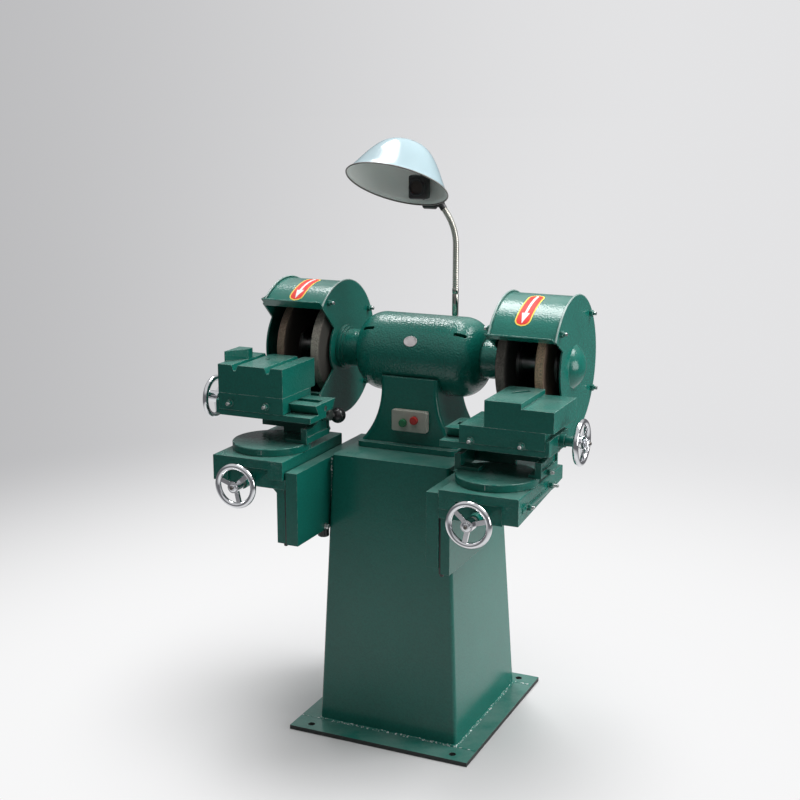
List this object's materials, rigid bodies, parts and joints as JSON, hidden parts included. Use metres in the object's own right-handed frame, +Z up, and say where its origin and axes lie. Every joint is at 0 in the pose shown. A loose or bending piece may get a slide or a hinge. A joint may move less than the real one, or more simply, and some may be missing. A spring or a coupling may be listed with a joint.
{
  "type": "two-station knife grinding machine",
  "caption": "Column-mounted double-ended knife grinder with guarded wheels, a central motor, compound tables on both sides and a gooseneck work lamp.",
  "frame": {"origin": "middle of the base plate's underside", "axes": "+X to the operator's right along the spindle, +Y to the back, +Z up"},
  "size_m": [0.902, 0.629, 1.3571],
  "materials": {
    "green_enamel": "hammered gloss",
    "hand_wheel_chrome": "polished",
    "machined_steel": "turned",
    "black_plastic": "satin",
    "core_iron": "plain",
    "shade_enamel": "gloss",
    "green_button": "gloss",
    "red_button": "gloss",
    "switch_metal": "gloss",
    "grey_abrasive": "grainy",
    "beige_abrasive": "grainy"
  },
  "bodies": {
    "frame": {"base_plate": "green_enamel", "column": "green_enamel", "left_wing": "green_enamel", "right_wing": "green_enamel", "motor_base": "green_enamel", "motor_housing": "green_enamel", "left_end_bell": "green_enamel", "right_end_bell": "green_enamel", "stator_core": "core_iron", "spindle_bearings": "machined_steel", "left_guard_shell": "green_enamel", "right_guard_shell": "green_enamel", "left_guard_cover": "green_enamel", "right_guard_cover": "green_enamel", "guard_studs": "machined_steel", "switch_plate": "switch_metal", "lamp_stem": "machined_steel", "gooseneck": "machined_steel", "lamp_knuckle": "machined_steel"},
    "spindle": {"spindle_shaft": "machined_steel", "rotor_core": "core_iron", "left_inner_wheel": "grey_abrasive", "left_outer_wheel": "beige_abrasive", "right_inner_wheel": "grey_abrasive", "right_outer_wheel": "beige_abrasive", "wheel_flanges": "machined_steel", "wheel_spacers": "machined_steel", "spindle_nuts": "machined_steel"},
    "start_push": {"start_button": "green_button"},
    "stop_push": {"stop_button": "red_button"},
    "lamp_head": {"lamp_shade": "shade_enamel", "lamp_holder": "black_plastic"},
    "left_knee_slide": {"left_knee": "green_enamel"},
    "left_lift_screw": {"left_elevating_screw": "machined_steel"},
    "left_saddle_slide": {"left_saddle": "green_enamel"},
    "left_saddle_feed": {"left_saddle_screw": "machined_steel", "left_front_hand_wheel": "hand_wheel_chrome"},
    "left_swivel": {"left_turntable": "green_enamel", "left_tilt_bracket": "green_enamel"},
    "left_tilt": {"left_cross_rail": "green_enamel"},
    "left_clamp": {"left_tilt_clamp": "machined_steel", "left_lever_ball": "black_plastic"},
    "left_table": {"left_carriage": "green_enamel", "left_knife_holder": "green_enamel"},
    "left_table_feed": {"left_table_screw": "machined_steel", "left_side_hand_wheel": "hand_wheel_chrome"},
    "right_knee_slide": {"right_knee": "green_enamel"},
    "right_lift_screw": {"right_elevating_screw": "machined_steel"},
    "right_saddle_slide": {"right_saddle": "green_enamel"},
    "right_saddle_feed": {"right_saddle_screw": "machined_steel", "right_front_hand_wheel": "hand_wheel_chrome"},
    "right_swivel": {"right_turntable": "green_enamel", "right_tilt_bracket": "green_enamel"},
    "right_tilt": {"right_cross_rail": "green_enamel"},
    "right_clamp": {"right_tilt_clamp": "machined_steel", "right_lever_ball": "black_plastic"},
    "right_table": {"right_carriage": "green_enamel", "right_knife_holder": "green_enamel"},
    "right_table_feed": {"right_table_screw": "machined_steel", "right_side_hand_wheel": "hand_wheel_chrome"}
  },
  "joints": [
    {"name": "spindle_turn", "type": "hinge", "parent": "frame", "child": "spindle", "pos_m": [-0.003, 0.0326, 0.8586], "axis": [1, 0, 0], "continuous": true},
    {"name": "start_press", "type": "slide", "parent": "frame", "child": "start_push", "axis": [0, 1, 0], "range_m": [0, 0.004], "stiffness_N_per_m": 600, "springref_m": -0.002},
    {"name": "stop_press", "type": "slide", "parent": "frame", "child": "stop_push", "axis": [0, 1, 0], "range_m": [0, 0.004], "stiffness_N_per_m": 600, "springref_m": -0.002},
    {"name": "lamp_tilt", "type": "hinge", "parent": "frame", "child": "lamp_head", "pos_m": [-0.041, 0.139, 1.192], "axis": [1, 0, 0], "range_deg": [-20, 20]},
    {"name": "left_knee_lift", "type": "slide", "parent": "frame", "child": "left_knee_slide", "axis": [0, 0, 1], "range_m": [-0.015, 0.015]},
    {"name": "left_lift_turn", "type": "hinge", "parent": "frame", "child": "left_lift_screw", "pos_m": [-0.166, -0.168, 0.479], "axis": [0, 0, 1], "range_deg": [-2760, 2760]},
    {"name": "left_saddle_move", "type": "slide", "parent": "left_knee_slide", "child": "left_saddle_slide", "axis": [0, 1, 0], "range_m": [-0.038, 0.004]},
    {"name": "left_saddle_turn", "type": "hinge", "parent": "left_knee_slide", "child": "left_saddle_feed", "pos_m": [-0.27, -0.373, 0.618], "axis": [0, 1, 0], "range_deg": [-3500, 400]},
    {"name": "left_swivel_turn", "type": "hinge", "parent": "left_saddle_slide", "child": "left_swivel", "pos_m": [-0.27, -0.213, 0.667], "axis": [0, 0, 1], "range_deg": [-8, 8]},
    {"name": "left_table_tilt", "type": "hinge", "parent": "left_swivel", "child": "left_tilt", "pos_m": [-0.27, -0.131, 0.732], "axis": [1, 0, 0], "range_deg": [0, 10]},
    {"name": "left_clamp_turn", "type": "hinge", "parent": "left_swivel", "child": "left_clamp", "pos_m": [-0.177, -0.131, 0.732], "axis": [1, 0, 0], "range_deg": [-15, 20]},
    {"name": "left_table_move", "type": "slide", "parent": "left_tilt", "child": "left_table", "axis": [1, 0, 0], "range_m": [0, 0.06]},
    {"name": "left_table_turn", "type": "hinge", "parent": "left_tilt", "child": "left_table_feed", "pos_m": [-0.439, -0.175, 0.759], "axis": [-1, 0, 0], "range_deg": [-60, 5500]},
    {"name": "right_knee_lift", "type": "slide", "parent": "frame", "child": "right_knee_slide", "axis": [0, 0, 1], "range_m": [-0.015, 0.015]},
    {"name": "right_lift_turn", "type": "hinge", "parent": "frame", "child": "right_lift_screw", "pos_m": [0.166, -0.168, 0.479], "axis": [0, 0, 1], "range_deg": [-2760, 2760]},
    {"name": "right_saddle_move", "type": "slide", "parent": "right_knee_slide", "child": "right_saddle_slide", "axis": [0, 1, 0], "range_m": [-0.038, 0.004]},
    {"name": "right_saddle_turn", "type": "hinge", "parent": "right_knee_slide", "child": "right_saddle_feed", "pos_m": [0.27, -0.373, 0.604], "axis": [0, 1, 0], "range_deg": [-3500, 400]},
    {"name": "right_swivel_turn", "type": "hinge", "parent": "right_saddle_slide", "child": "right_swivel", "pos_m": [0.27, -0.213, 0.653], "axis": [0, 0, 1], "range_deg": [-8, 8]},
    {"name": "right_table_tilt", "type": "hinge", "parent": "right_swivel", "child": "right_tilt", "pos_m": [0.27, -0.131, 0.718], "axis": [1, 0, 0], "range_deg": [0, 10]},
    {"name": "right_clamp_turn", "type": "hinge", "parent": "right_swivel", "child": "right_clamp", "pos_m": [0.177, -0.131, 0.718], "axis": [1, 0, 0], "range_deg": [-15, 20]},
    {"name": "right_table_move", "type": "slide", "parent": "right_tilt", "child": "right_table", "axis": [-1, 0, 0], "range_m": [0, 0.06]},
    {"name": "right_table_turn", "type": "hinge", "parent": "right_tilt", "child": "right_table_feed", "pos_m": [0.439, -0.175, 0.745], "axis": [1, 0, 0], "range_deg": [-60, 5500]}
  ],
  "couplings": [
    {"joint": "left_lift_turn", "follows": "left_knee_lift", "rad_per_m": 3141.6},
    {"joint": "left_saddle_turn", "follows": "left_saddle_move", "rad_per_m": 1570.8},
    {"joint": "left_table_turn", "follows": "left_table_move", "rad_per_m": 1570.8},
    {"joint": "right_lift_turn", "follows": "right_knee_lift", "rad_per_m": 3141.6},
    {"joint": "right_saddle_turn", "follows": "right_saddle_move", "rad_per_m": 1570.8},
    {"joint": "right_table_turn", "follows": "right_table_move", "rad_per_m": 1570.8}
  ]
}
